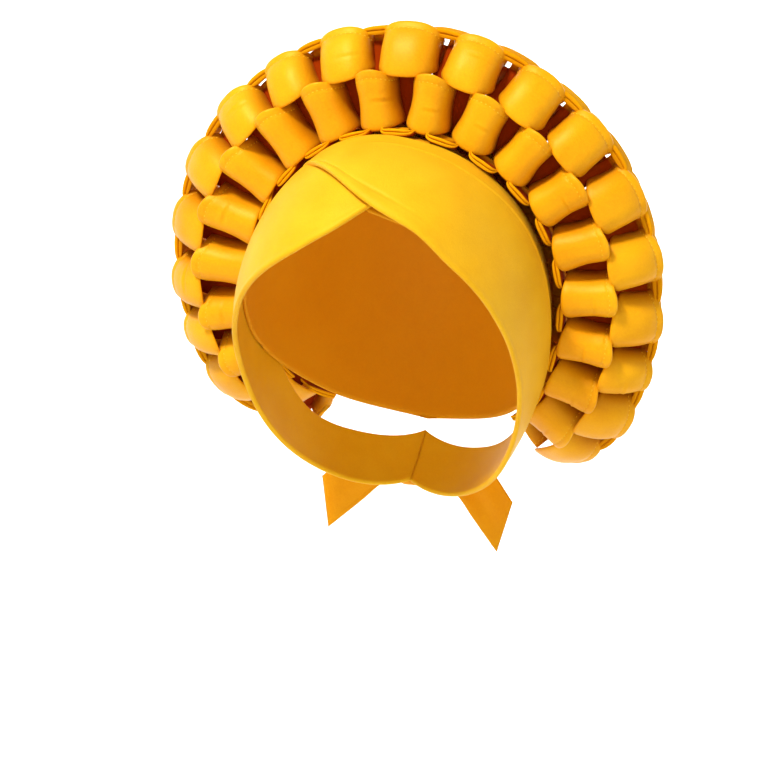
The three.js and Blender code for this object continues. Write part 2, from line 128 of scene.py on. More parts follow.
def spline(points, t):
    """A smooth curve through points, at shares t from 0 to 1."""
    points = np.asarray(points, float)
    n = len(points) - 1
    padded = np.vstack([2 * points[0] - points[1], points, 2 * points[-1] - points[-2]])
    s = np.clip(np.asarray(t, float), 0, 1) * n
    i = np.minimum(s.astype(int), n - 1)
    u = (s - i)[:, None]
    a, b, c, d = padded[i], padded[i + 1], padded[i + 2], padded[i + 3]
    return 0.5 * (
        2 * b + (c - a) * u + (2 * a - 5 * b + 4 * c - d) * u**2
        + (3 * b - a - 3 * c + d) * u**3
    )


def across_samples(count, power=0.75):
    """Samples from -1 to 1 that lie closer together at both ends."""
    s = np.linspace(-1, 1, count)
    return np.sign(s) * (1 - (1 - np.abs(s)) ** (1 / power))


# The head form

def form_level(p, lift):
    """Under 1 inside the head form lifted by a distance, over 1 outside it."""
    down = np.where(p[..., 2] > 0, CROWN + lift, NAPE + lift)
    return np.sqrt(
        (p[..., 0] / (HALF_WIDTH + lift)) ** 2
        + (p[..., 1] / (HALF_LENGTH + lift)) ** 2
        + (p[..., 2] / down) ** 2
    )


def on_form(direction, lift):
    return direction / form_level(direction, lift)[..., None]


def reach_form(start, direction, lift):
    """How far it is from places inside the form to its surface, found by halving."""
    near = np.zeros(len(start))
    far = np.full(len(start), 4 * HALF_LENGTH)
    for _ in range(36):
        middle = (near + far) / 2
        inside = form_level(start + direction * middle[:, None], lift) < 1
        near = np.where(inside, middle, near)
        far = np.where(inside, far, middle)
    return near


def face_direction(turn, angle):
    """The direction at a turn round the face's axis and an angle off that axis, in radians."""
    return np.stack(
        [np.sin(angle) * np.sin(turn), -np.cos(angle), np.sin(angle) * np.cos(turn)], -1
    )


# The ruff's own frame

def ruff_turns(places):
    """Turns from the top at places along the ruff, which count in loops."""
    return places * LOOP_TURN + TWIST


def ruff_feet(turns):
    degrees = np.abs(np.degrees(turns))
    setback = table(COURSE, "turn", "setback", degrees) * 2 * HALF_LENGTH
    stand = table(COURSE, "turn", "stand", degrees) * STANDOFF
    outward = RUFF_UP * np.cos(turns)[:, None]
    outward[:, 0] += np.sin(turns)
    start = RUFF_CENTRE - RUFF_AXIS * setback[:, None]
    reach = reach_form(start, outward, CAP_OUTSIDE) + stand
    return outward, start + outward * reach[:, None]


def ruff_frames(places):
    """The frames of the ruff's section at places along it."""
    turns = ruff_turns(places)
    degrees = np.abs(np.degrees(turns))
    step = math.radians(0.5)
    outward, point = ruff_feet(turns)
    along = unit(ruff_feet(turns + step)[1] - ruff_feet(turns - step)[1])
    outward[:, 1] += table(COURSE, "turn", "flare", degrees)
    out = unit(outward - along * np.sum(outward * along, 1)[:, None])
    front = unit(np.cross(along, out))
    front = np.where((front @ RUFF_AXIS < 0)[:, None], -front, front)
    return point, out, front, table(COURSE, "turn", "scale", degrees)


def at_ruff(places, out, back):
    """Points of the ruff's section: out and back are distances in millimetres."""
    point, outs, front, scale = ruff_frames(places)
    return point + outs * (out * scale)[:, None] - front * (back * scale)[:, None]


def ruff_grid(places, out, back):
    """As at_ruff, for a grid of points."""
    return at_ruff(places.ravel(), out.ravel(), back.ravel()).reshape(*places.shape, 3)


# Meshes

def mesh_object(name, points, faces, material, painted_shade=None):
    """A smooth closed mesh from points in millimetres on the head form's frame."""
    mesh = bpy.data.meshes.new(name)
    mesh.from_pydata(((points - [0, 0, LEVEL_DROP]) * MM).tolist(), [], faces)
    # Painted shade at each point, 0 to 1, which the material mixes toward its shade colour
    if painted_shade is not None:
        mesh.attributes.new("painted_shade", "FLOAT", "POINT").data.foreach_set("value", painted_shade)
    obj = bpy.data.objects.new(name, mesh)
    bpy.context.scene.collection.objects.link(obj)
    bm = bmesh.new()
    bm.from_mesh(mesh)
    bmesh.ops.remove_doubles(bm, verts=bm.verts, dist=MERGE_DISTANCE)
    bmesh.ops.dissolve_degenerate(bm, edges=bm.edges, dist=DISSOLVE_DISTANCE)
    bmesh.ops.recalc_face_normals(bm, faces=bm.faces)
    bm.to_mesh(mesh)
    bm.free()
    mesh.polygons.foreach_set("use_smooth", [True] * len(mesh.polygons))
    mesh.materials.append(material)
    return obj


def thick_sheet(name, top, bottom, material, painted_shades=None):
    """A closed piece of cloth from the grids of its two faces, with painted shade on both, 0 to 1, in
    the ruff's recesses."""
    n, m, _ = top.shape
    offset = n * m
    index = np.arange(offset).reshape(n, m)
    a, b = index[:-1, :-1].ravel(), index[:-1, 1:].ravel()
    c, d = index[1:, 1:].ravel(), index[1:, :-1].ravel()
    faces = np.stack([a, b, c, d], 1).tolist() + (np.stack([a, d, c, b], 1) + offset).tolist()
    edge = [*index[0, :], *index[1:, -1], *index[-1, -2::-1], *index[-2:0:-1, 0]]
    for i, p in enumerate(edge):
        q = edge[(i + 1) % len(edge)]
        faces.append([int(q), int(p), int(p + offset), int(q + offset)])
    painted_shade = None if painted_shades is None else np.concatenate([face.ravel() for face in painted_shades])
    points = np.vstack([top.reshape(-1, 3), bottom.reshape(-1, 3)])
    return mesh_object(name, points, faces, material, painted_shade)


def closed_tube(name, grid, material):
    """A closed lump from one grid whose rows close on themselves, with both ends shut."""
    n, m = grid.shape[0] - 1, grid.shape[1]
    faces = []
    for i in range(n):
        for j in range(m - 1):
            a, b = i * m + j, ((i + 1) % n) * m + j
            faces.append([a, a + 1, b + 1, b])
    faces.append([i * m for i in range(n)])
    faces.append([i * m + m - 1 for i in range(n)][::-1])
    return mesh_object(name, grid[:-1].reshape(-1, 3), faces, material)


def declare(obj, replaced=()):
    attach(obj, "root")
    if replaced:
        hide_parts(*replaced)
    return obj


# Materials

def linear(r, g, b):
    """A linear colour from one as seen, 0 to 255."""
    def one(c):
        c /= 255
        return c / 12.92 if c <= 0.04045 else ((c + 0.055) / 1.055) ** 2.4

    return (one(r), one(g), one(b), 1)


# The painted shade colour, which the cloth's colour is mixed toward in the ruff's recesses
PAINTED_SHADE_COLOUR = linear(150, 48, 3)


def cloth(name, low, high, roughness, sheen, drift_scale=28, gloss_level=0.42):
    """Smooth stretch knit: tone drift, painted shade from the mesh's attribute, fine knit rows,
    grain, satin sheen.
    """
    mat = bpy.data.materials.new(name)
    mat.use_nodes = True
    tree = mat.node_tree
    nodes, links = tree.nodes, tree.links
    shader = nodes["Principled BSDF"]
    place = nodes.new("ShaderNodeTexCoord")

    def noise(scale, detail, rough=0.5):
        node = nodes.new("ShaderNodeTexNoise")
        node.inputs["Scale"].default_value = scale
        node.inputs["Detail"].default_value = detail
        node.inputs["Roughness"].default_value = rough
        links.new(place.outputs["Object"], node.inputs["Vector"])
        return node

    drift = noise(drift_scale, 2)
    fleck = noise(900, 2, 0.7)
    mix = nodes.new("ShaderNodeMath")
    mix.operation = "MULTIPLY_ADD"
    links.new(fleck.outputs["Fac"], mix.inputs[0])
    mix.inputs[1].default_value = 0.55
    links.new(drift.outputs["Fac"], mix.inputs[2])
    tones = nodes.new("ShaderNodeValToRGB")
    tones.color_ramp.elements[0].position = 0.4
    tones.color_ramp.elements[0].color = low
    tones.color_ramp.elements[1].position = 1.1
    tones.color_ramp.elements[1].color = high
    links.new(mix.outputs[0], tones.inputs["Fac"])
    # Painted shade: the tone is mixed toward the shade colour by the mesh's painted shade attribute
    shade_mix = nodes.new("ShaderNodeMixRGB")
    painted_shade = nodes.new("ShaderNodeAttribute")
    painted_shade.attribute_name = "painted_shade"
    links.new(painted_shade.outputs["Fac"], shade_mix.inputs["Fac"])
    links.new(tones.outputs["Color"], shade_mix.inputs["Color1"])
    shade_mix.inputs["Color2"].default_value = PAINTED_SHADE_COLOUR
    links.new(shade_mix.outputs["Color"], shader.inputs["Base Color"])

    rows = nodes.new("ShaderNodeTexVoronoi")
    rows.inputs["Scale"].default_value = 1800
    links.new(place.outputs["Object"], rows.inputs["Vector"])
    fine = noise(2600, 2, 0.6)
    height = nodes.new("ShaderNodeMath")
    height.operation = "MULTIPLY_ADD"
    links.new(rows.outputs["Distance"], height.inputs[0])
    height.inputs[1].default_value = 0.6
    links.new(fine.outputs["Fac"], height.inputs[2])
    bump = nodes.new("ShaderNodeBump")
    bump.inputs["Strength"].default_value = 0.5
    bump.inputs["Distance"].default_value = 0.00016
    links.new(height.outputs[0], bump.inputs["Height"])
    soft = noise(150, 3)
    dents = nodes.new("ShaderNodeBump")
    dents.inputs["Strength"].default_value = 0.35
    dents.inputs["Distance"].default_value = 0.0006
    links.new(soft.outputs["Fac"], dents.inputs["Height"])
    links.new(dents.outputs["Normal"], bump.inputs["Normal"])
    links.new(bump.outputs["Normal"], shader.inputs["Normal"])

    gloss = nodes.new("ShaderNodeMapRange")
    gloss.inputs["To Min"].default_value = roughness - 0.06
    gloss.inputs["To Max"].default_value = roughness + 0.08
    links.new(fleck.outputs["Fac"], gloss.inputs["Value"])
    links.new(gloss.outputs["Result"], shader.inputs["Roughness"])
    shader.inputs["Sheen Weight"].default_value = sheen
    shader.inputs["Sheen Roughness"].default_value = 0.4
    shader.inputs["Sheen Tint"].default_value = (1, 0.7, 0.2, 1)
    shader.inputs["Specular IOR Level"].default_value = gloss_level
    shader.inputs["Specular Tint"].default_value = (1, 0.74, 0.24, 1)
    return mat


RUFF_CLOTH = cloth("ruff_knit", linear(234, 148, 3), linear(248, 178, 14), 0.36, 0.05,
                   gloss_level=0.4)
MATTE_CLOTH = cloth("ruff_knit_matte", linear(234, 148, 3), linear(246, 174, 12), 0.85, 0,
                    gloss_level=0.03)
# The wraps are the ruff's cloth, given a lighter, yellower tone for the stronger direct light on
# them: painted light
WRAP_CLOTH = cloth("wrap_knit", linear(236, 170, 12), linear(246, 188, 28), 0.48, 0.05,
                   drift_scale=40, gloss_level=0.35)
CAP_CLOTH = cloth("cap_knit", linear(230, 148, 10), linear(240, 164, 18), 0.55, 0.05,
                  drift_scale=12, gloss_level=0.3)
TIE_CLOTH = cloth("tie_knit", linear(232, 144, 5), linear(244, 168, 16), 0.5, 0.05,
                  gloss_level=0.3)
THREAD = cloth("stitch_thread", linear(250, 190, 30), linear(255, 208, 60), 0.45, 0.05,
               gloss_level=0.3)

# The ruff's strips, in millimetres in the ruff's section (out, back). Each strip rises from its dip
# line to its crest line in loops. wave is half of a loop: its place along the strip in loops, and
# its height. flare is the loop's width and saddle its extra height, both across the strip. bulge is
# how much a loop narrows toward its sides, at the strip's front and rear. lens is half the length
# of the padded lens that each loop of a strip on edge is, in loops, and plump half its thickness.
# face is the way that the outer face looks, and sag leans the loops down at the head's sides.
OPEN_LOOP = [
    (0, 1), (0.10, 0.995), (0.20, 0.95), (0.29, 0.845), (0.355, 0.68), (0.39, 0.47),
    (0.392, 0.26), (0.372, 0.09), (0.40, 0.012), (0.45, 0), (0.5, 0),
]
LENS_LOOP = [
    (0, 1), (0.10, 1), (0.20, 0.98), (0.27, 0.93), (0.33, 0.80), (0.39, 0.45), (0.44, 0.12),
    (0.5, 0),
]
ACROSS = [-1, -0.6, -0.2, 0.2, 0.5, 0.72, 1]
STRIPS = {
    "strip_throat": dict(
        crest=dict(start=(1.5, -1), turn=[(0, 91), (1, 90)], width=16),
        dip=dict(start=(5.5, 11), turn=[(0, 90), (1, 86)], width=16),
        phase=0, wave=LENS_LOOP, lens=0.33, plump=1.85, bulge=(0, 0), face=(-1, 0), sag=0,
        flare=[1] * 7, saddle=[0] * 7),
    "strip_inner": dict(
        crest=dict(start=(2.6, 1), turn=[(0, -4), (0.84, 10), (0.88, -6), (1, -6)], width=29.5),
        dip=dict(start=(3.4, 20.2), turn=[(0, 0), (1, 4)], width=24.6),
        phase=0.5, wave=OPEN_LOOP, lens=0, plump=0, bulge=(0.12, 0.25), face=(0, -1), sag=0.1,
        flare=[1.15, 1.0, 0.88, 0.83, 0.84, 0.85, 0.87], saddle=[1.8, 0.5, 0, 0, 0.4, 0.7, 0.9]),
    "strip_outer": dict(
        crest=dict(start=(27.9, 5), turn=[(0, 5), (0.84, 62), (0.87, 40), (1, 36)], width=31),
        dip=dict(start=(29.5, 23), turn=[(0, 20), (1, 48)], width=13.5),
        phase=0, wave=OPEN_LOOP, lens=0, plump=0, bulge=(0.11, 0.1), face=(0, -1), sag=0.1,
        flare=[1.13, 1.03, 0.98, 0.95, 0.93, 0.95, 1.06], saddle=[1.6, 0.4, 0, 0, 0.2, 0.2, 0.6]),
    "strip_rim": dict(
        crest=dict(start=(48.4, 22), turn=[(0, 88), (1, 100)], width=17),
        dip=dict(start=(43.6, 26), turn=[(0, 90), (1, 94)], width=13),
        phase=0.5, wave=LENS_LOOP, lens=0.26, plump=2.5, bulge=(0, 0), face=(1, 0), sag=0,
        flare=[1] * 7, saddle=[0] * 7),
}
LOOP_SAMPLES, WAVE_SAMPLES, LINE_SAMPLES = 44, 600, 120
LOOP_RISE_SHARE = 0.62
LOOP_FOOT, LOOP_SIDE = 0.44, 0.39
RUFF_END = STEPS_EACH_SIDE / 2 + 0.2

# How the loops differ: height, width, and a crease's place across and along, all as ranges
TALLER, WIDER = (-0.05, 0.03), (-0.03, 0.02)
CREASE_ACROSS, CREASE_ALONG, CREASED = (-0.3, 0.25), (0.02, 0.16), 0.5

# The padding: half thicknesses in millimetres, and the rolled front edge of a strip on edge as
# places across it with the share of the thickness there
PADDING, THINNEST = 2.9, 0.7
FRONT_ROLL = [(-0.8, 0.03), (-0.93, 0.1), (-0.985, 0.2), (-1, 0.4), (-1, 0.62), (-0.99, 0.82),
              (-0.97, 0.95), (-0.92, 1)]

# The stitches, in millimetres, at a place across the strip
STITCH_PLACE, STITCH_SPACING, STITCH_SIZE, STITCH_SEED = 0.72, 2.6, 0.58, 5
STITCH_GROOVE, STITCH_FROM_HEIGHT = 0.38, 0.35
STITCH_SECTIONS = [(-1, 0.35), (-0.5, 0.95), (0.5, 0.95), (1, 0.35)]
STITCH_SIDES = 6

# At the top the throat strip leans forward, by a share that goes by the turn
TOP_THROAT = {"turn": [0, 8, 30, 60, 180], "share": [1, 1, 0.6, 0, 0]}
THROAT_FORWARD, THROAT_OUT, THROAT_IN, THROAT_REAR = 7.8, 2.4, 3.4, 1.2

# The ruff's outer rows stand a little wider at the top and on the wearer's right: how much, at
# which turn, and over how many degrees
EASES = [(5.0, -85, 55), (1.7, 0, 40)]
EASE_FROM, EASE_TO = 14.0, 30.0


def eased(places, out):
    degrees = np.degrees(ruff_turns(places))
    wider = sum(most * bell(degrees, turn, reach) for most, turn, reach in EASES)
    return out + ramp(out, EASE_FROM, EASE_TO) * wider


def section_line(line, v):
    """A strip's line in the ruff's section: out and back at v, from -1 to 1 across the strip."""
    s = np.linspace(0, 1, LINE_SAMPLES + 1)
    lean = np.radians(np.interp(s, *zip(*line["turn"])))
    lean = (lean[1:] + lean[:-1]) / 2
    step = line["width"] / LINE_SAMPLES
    out = np.concatenate([[0], np.cumsum(np.cos(lean))]) * step
    back = np.concatenate([[0], np.cumsum(np.sin(lean))]) * step
    at = (v + 1) / 2
    return line["start"][0] + np.interp(at, s, out), line["start"][1] + np.interp(at, s, back)


def loop_curve(strip):
    """One loop from dip to dip: places in loops and heights, evenly spaced along it."""
    half = np.array(strip["wave"])
    whole = np.vstack([half[::-1] * [-1, 1], half[1:]])
    fine = spline(whole, np.linspace(0, 1, WAVE_SAMPLES))
    length = run_along(fine * [1, LOOP_RISE_SHARE])
    at = np.linspace(0, length[-1], LOOP_SAMPLES + 1)[:-1]
    return np.stack([np.interp(at, length, fine[:, 0]), np.interp(at, length, fine[:, 1])], 1)


def loops_along(strip, rand):
    """The samples along a strip: the centre of the loop, the place in it, the height and what
    it is multiplied by, and for each sample its loop's crease."""
    curve = loop_curve(strip)
    samples, creases = [], []
    for loop in range(-STEPS_EACH_SIDE // 2 - 1, STEPS_EACH_SIDE // 2 + 2):
        tall = 1 + rand.uniform(*TALLER)
        wide = 1 + rand.uniform(*WIDER)
        crease = (rand.uniform(*CREASE_ACROSS), rand.uniform(*CREASE_ALONG),
                  rand.random() < CREASED)
        centre = loop + strip["phase"]
        for x, height in curve:
            local = x if abs(x) > LOOP_FOOT else x * wide
            if abs(centre + local) <= RUFF_END:
                samples.append((centre, local, min(max(height, 0), 1), tall))
                creases.append(crease)
    return *np.array(samples).T, creases


def strip_across(strip):
    """Places across a strip and the share of its thickness at each."""
    if strip["lens"]:
        flat = np.linspace(-0.8, 1, 13)
        rolled = np.array(FRONT_ROLL)
        share = np.concatenate([rolled[:, 1], np.clip(1 - flat**8, 0, 1)])
        return np.concatenate([rolled[:, 0], flat]), share
    v = across_samples(37)
    return v, np.clip(1 - np.abs(v) ** 9, 0, 1) ** 0.5


def strip_middle(name, strip, samples, v):
    """The middle of a strip's thickness: places along the ruff, out and back."""
    centre, local, height, gain = samples
    flare = smooth(ACROSS, strip["flare"], v)
    saddle = smooth(ACROSS, strip["saddle"], v)
    bulge = np.where(v < 0, *strip["bulge"])[None, :] * ((local / LOOP_SIDE) ** 2)[:, None]
    shrink = np.clip(1 - bulge, 0.6, 1)
    crest_out, crest_back = section_line(strip["crest"], v[None, :] * shrink)
    dip_out, dip_back = section_line(strip["dip"], v)
    to_out, to_back = crest_out - dip_out, crest_back - dip_back
    rise = height[:, None] * (gain[:, None] + saddle / np.hypot(to_out, to_back) * height[:, None])
    out = dip_out + to_out * rise
    back = dip_back + to_back * rise
    if name == "strip_throat":
        degrees = np.abs(np.degrees(ruff_turns(centre + local)))
        forward = (table(TOP_THROAT, "turn", "share", degrees) * height)[:, None]
        back = back - THROAT_FORWARD * forward * (1 - 0.25 * (v + 1) / 2)
        curl = np.sin(np.clip(v + 1, 0, 1) * math.pi / 2)
        out = out + forward * (THROAT_OUT - THROAT_IN * curl + THROAT_REAR * np.clip(v, 0, 1))
    flared = (ramp(height, 0, 0.22) ** 0.7)[:, None]
    sag = strip["sag"] * np.sin(centre * LOOP_TURN) * height**0.8
    place = centre[:, None] + local[:, None] * (1 + (flare - 1)[None, :] * flared) + sag[:, None]
    return place, eased(place, out), back


def lens_padding(strip, local, v, edge):
    """Half the thickness of a strip on edge: a lens at each loop, thin between them."""
    body = np.sqrt(np.clip(1 - (local / strip["lens"]) ** 2, 0, 1))[:, None]
    thinner = 1 - 0.8 * ramp(v, -1, -0.1) ** 1.5
    return (THINNEST + (strip["plump"] - THINNEST) * body * thinner[None, :]) * edge[None, :]


def loop_padding(height, v, edge):
    """Half the thickness of a strip of open loops, with the groove of its stitches."""
    pad = PADDING / 2 * (0.9 + 0.12 * (1 - v**2))
    pad = pad - STITCH_GROOVE * bell(v, STITCH_PLACE, 0.03)
    pad = np.where(v > STITCH_PLACE, pad * 0.96, pad)
    return (pad * edge)[None, :] * (0.7 + 0.3 * height[:, None])


def loop_puckers(line, local, creases, v):
    """The puckers along the stitches and each loop's crease, in millimetres on the outer face."""
    run = run_along(line[:, len(v) // 2])
    pucker = np.sin(run * 2.1 + 0.6 * np.sin(run * 0.37))[:, None]
    relief = 0.22 * pucker * bell(v, STITCH_PLACE, 0.075)
    for i, (across, along, creased) in enumerate(creases):
        if creased:
            reach = soft_step(local[i], along - 0.12, 0.035) * soft_step(local[i], along + 0.2, -0.03)
            relief[i] += reach * (0.35 * bell(v, across + 0.1, 0.06) - 0.75 * bell(v, across, 0.035))
    return relief


def strip_painted_shade(name, strip, height, v):
    """Painted shade on both faces of a strip, from 0 to 1, by how far into the ruff's recesses they
    lie.
    """
    flat = 0 * height[:, None] + 0 * v
    # Painted shade on both faces of the throat strip behind its front edge, fading toward its rear
    # edge
    if name == "strip_throat":
        shade_amount = flat + ramp(v, -0.95, -0.75) * (1 - 0.85 * ramp(v, 0.1, 0.6))
        return shade_amount, shade_amount
    # Painted shade on the rim strip: a little on the outer face, more on the inner face
    if strip["lens"]:
        return flat + 0.12, flat + 0.3
    # Painted shade on the front face of a strip of loops, darker toward its dips
    return flat + np.clip(1.1 - 1.12 * height, 0, 1)[:, None] ** 1.3, flat


def strip_surface(name, strip):
    """Both faces of a whole strip: a padded ribbon that rises in loops."""
    *samples, creases = loops_along(strip, random.Random(name))
    _, local, height, _ = samples
    v, edge = strip_across(strip)
    place, out, back = strip_middle(name, strip, samples, v)
    line = ruff_grid(place, out, back)
    ahead = ruff_grid(*strip_middle(name, strip, samples, v + 0.004))
    normal = unit(np.cross(np.gradient(line, axis=0), ahead - line))
    face_out, face_back = strip["face"]
    toward = ruff_grid(place, out + face_out, back + face_back) - line
    crest = height > 0.99
    if np.sum(normal[crest] * toward[crest]) < 0:
        normal = -normal
    if strip["lens"]:
        half = lens_padding(strip, local, v, edge)
        relief = 0
    else:
        half = loop_padding(height, v, edge)
        relief = loop_puckers(line, local, creases, v)
    top = line + normal * (half + relief)[..., None]
    bottom = line - normal * half[..., None]
    return top, bottom, v, height, strip_painted_shade(name, strip, height, v)


def stitches(name, top, v, height):
    """Small thread dots along a strip's stitch line, sunk into its groove."""
    rand = random.Random(STITCH_SEED)
    column = float(np.interp(STITCH_PLACE, v, np.arange(len(v))))
    j = int(column)
    f = column - j
    line = top[:, j] * (1 - f) + top[:, j + 1] * f
    side = unit(top[:, j + 1] - top[:, j])
    run = run_along(line)
    verts, faces = [], []
    for s in np.arange(STITCH_SPACING, run[-1], STITCH_SPACING):
        i = int(np.searchsorted(run, s)) - 1
        if height[i] < STITCH_FROM_HEIGHT:
            continue
        u = (s - run[i]) / (run[i + 1] - run[i])
        centre = line[i] * (1 - u) + line[i + 1] * u
        along = unit(line[i + 1] - line[i])
        across = side[i]
        up = np.cross(along, across)
        length = STITCH_SIZE * (1.4 + 0.5 * rand.random())
        base = len(verts)
        for a, r in STITCH_SECTIONS:
            for q in range(STITCH_SIDES):
                t = 2 * math.pi * q / STITCH_SIDES
                ring = (across * math.cos(t) + up * math.sin(t)) * r * STITCH_SIZE / 2
                verts.append(centre + along * a * length / 2 + ring)
        for k in range(len(STITCH_SECTIONS) - 1):
            for q in range(STITCH_SIDES):
                a = base + k * STITCH_SIDES + q
                b = base + k * STITCH_SIDES + (q + 1) % STITCH_SIDES
                faces.append([a, b, b + STITCH_SIDES, a + STITCH_SIDES])
        last = base + (len(STITCH_SECTIONS) - 1) * STITCH_SIDES
        faces.append([base + q for q in range(STITCH_SIDES)][::-1])
        faces.append([last + q for q in range(STITCH_SIDES)])
    return mesh_object(name, np.array(verts), faces, THREAD)


for strip_name, strip in STRIPS.items():
    top, bottom, v, height, painted_shades = strip_surface(strip_name, strip)
    material = MATTE_CLOTH if strip["lens"] else RUFF_CLOTH
    cloth_name = strip_name.replace("strip", "woven") + "_cloth"
    piece = thick_sheet(cloth_name, top, bottom, material, painted_shades)
    declare(piece, [strip_name])
    if not strip["lens"]:
        declare(stitches(strip_name.replace("strip", "stitches"), top, v, height))

# The ribs: ribbons that cross the strips, in millimetres: out, back, width and shift away from the
# top. They start on the cap, where their root is further forward toward the nape, by the rib's step.
ROOTS = {"step": [11.875, 16, 17], "back": [47, 34.625, 28]}
ROOT_WIDTH, ROOT_LIFT, ROOT_OUT, ROOT_CLEARANCE = 11.4, 0.9, 10, 5
SURELY_INSIDE = -45.0
EVEN_RIB = [
    (0.2, 38, 11.9, 0), (1.0, 29, 12, 0), (0.9, 22.8, 11.8, 0), (1.5, 18.6, 10, 0),
    (4.6, 16.4, 8, 0), (9, 16.2, 7, 0), (16, 16.4, 9, 0), (23, 17.2, 15, 0),
    (29.5, 18.8, 21, 0), (36, 20.6, 21, 0), (41, 22.0, 17, 0), (45.4, 24.2, 18, 0),
    (47.8, 28.5, 18, 0), (48, 34, 17, 0), (46.4, 39, 14, 0),
]
ODD_RIB = [
    (0.2, 38, 11.9, 0), (1.0, 29, 12, 0), (1.2, 20, 12, 0), (2.0, 12.5, 12, 0),
    (4.6, 8.0, 13, 0), (10, 6.8, 14, 0), (18, 7.2, 14, 0), (24, 9.8, 12, 0),
    (28, 14.5, 9, 0.6), (31.5, 19.5, 8, 1.5), (36.5, 23.8, 8, 2.6), (41.5, 27.2, 8.5, 3.4),
    (44.4, 31.2, 9, 3.6), (44.8, 36, 10, 3.0), (43.6, 40.5, 11, 2.0),
]
RIB_HALF, RIB_BOW = 0.75, 0.09
RIB_SAMPLES, RIB_ACROSS = 64, 11


def rib_course(step):
    """A rib's line from its root on the cap: out, back, width and shift."""
    point, outs, front, scale = (a[0] for a in ruff_frames(np.array([step / 2])))
    root_back = float(np.interp(abs(step), ROOTS["step"], ROOTS["back"]))
    start = point + (outs * SURELY_INSIDE - front * root_back) * scale
    reach = reach_form(start[None], (outs * scale)[None], CAP_OUTSIDE)[0]
    root_out = SURELY_INSIDE + reach
    # Near the ears the roots overlap, every second one on top, so that no light comes through
    closed = ramp(abs(step), 10, 12)
    root_width = ROOT_WIDTH + 3.4 * closed
    rise = ROOT_LIFT + 1.7 * closed * (step % 2)
    rows = []
    for out, back, width, shift in EVEN_RIB if step % 2 == 0 else ODD_RIB:
        if out < ROOT_OUT:
            back = min(back, root_back - ROOT_CLEARANCE)
            width = max(width, root_width - 0.4) if back > 20 else width
        rows.append((out, back, width, shift))
    halfway = ((root_out + rows[0][0]) / 2, (root_back + rows[0][1]) / 2, root_width, 0)
    rows = [(root_out + rise, root_back, root_width, 0), halfway, *rows]
    return spline(rows, np.linspace(0, 1, RIB_SAMPLES)), front


def rib_painted_shade(out, back):
    """Painted shade on a rib, from 0 to 1, where it lies in the ruff's recesses: inside the inner
    loops, and under the outer.
    """
    inner = ramp(back, 26, 21) * ramp(out, 45, 42)
    outer = ramp(out, 26, 29) * ramp(out, 43.5, 41.5)
    return np.maximum(inner, outer)


def rib(step):
    line, front = rib_course(step)
    out, back, width, shift = (line[:, k:k + 1] for k in range(4))
    place = step / 2
    v = across_samples(RIB_ACROSS)
    middle = np.full(len(line), place)
    pitch = np.linalg.norm(at_ruff(middle + 0.5, line[:, 0], line[:, 1])
                           - at_ruff(middle - 0.5, line[:, 0], line[:, 1]), axis=1)[:, None]
    away = 1 if place > 0 else -1
    places = place + (v[None, :] * width / 2 + away * shift) / pitch
    grid = ruff_grid(places, eased(places, out), back + 0 * places)
    normal = unit(np.cross(np.gradient(grid, axis=0), np.gradient(grid, axis=1)))
    faces_front = np.sum(normal[RIB_SAMPLES // 2 - 2, RIB_ACROSS // 2] * front) > 0
    edge = np.clip(1 - np.abs(v) ** 6, 0, 1) ** 0.5
    bow = (-1 if faces_front else 1) * RIB_BOW * width * v[None, :] ** 2
    # Painted shade: the full amount on the rib's face toward the front, a fifth of it on the face
    # toward the back
    shade_amount = rib_painted_shade(out, back) + 0 * places
    painted_shades = (shade_amount, 0.2 * shade_amount) if faces_front else (0.2 * shade_amount, shade_amount)
    top = grid + normal * (bow + RIB_HALF * edge)[..., None]
    return top, grid + normal * (bow - RIB_HALF * edge)[..., None], painted_shades


for step in range(-STEPS_EACH_SIDE, STEPS_EACH_SIDE + 1):
    number = f"{step + STEPS_EACH_SIDE + 1:02d}"
    top, bottom, painted_shades = rib(step)
    piece = thick_sheet(f"rib_{number}_cloth", top, bottom, MATTE_CLOTH, painted_shades)
    declare(piece, [f"rib_{number}"])

# The wraps: turn, front and rear edges in degrees, and whether the wrap lies over the other
OVER = {
    "turn": [-34, -24, -8, 7, 34, 54, 79, 95, 115, 135, 155, 179.96],
    "front": [77, 60, 44, 37, 36, 39, 50, 61, 77, 92, 108, 122],
    "rear": [80, 78.5, 75.5, 75, 85, 97, 104, 108, 112, 119, 130, 140],
    "over": [1, 1, 1, 1, 1, 0, 0, 0, 0, 0, 0, 0],
}
UNDER = {
    "turn": [32, 20, 7, -4, -22, -47, -68, -90, -112, -135, -155, -179.96],
    "front": [72, 52, 38, 31, 27, 28, 35, 50, 73, 92, 108, 122],
    "rear": [62, 60, 60, 62, 76, 87, 96, 104, 110, 118, 130, 140],
    "over": [0] * 12,
}
SEAM = {
    "turn": [-30, 0, 10, 17, 28, 36, 43, 52, 66, 80, 92, 105, 130],
    "angle": [65, 66, 66.8, 68.3, 71.6, 75.2, 79.2, 83.6, 88, 91.3, 95.6, 103, 118],
}
WRAP_RADIUS, SEAM_RADIUS = 85, 95
WRAP_EDGE, WRAP_CUT = 1.3, 0.36


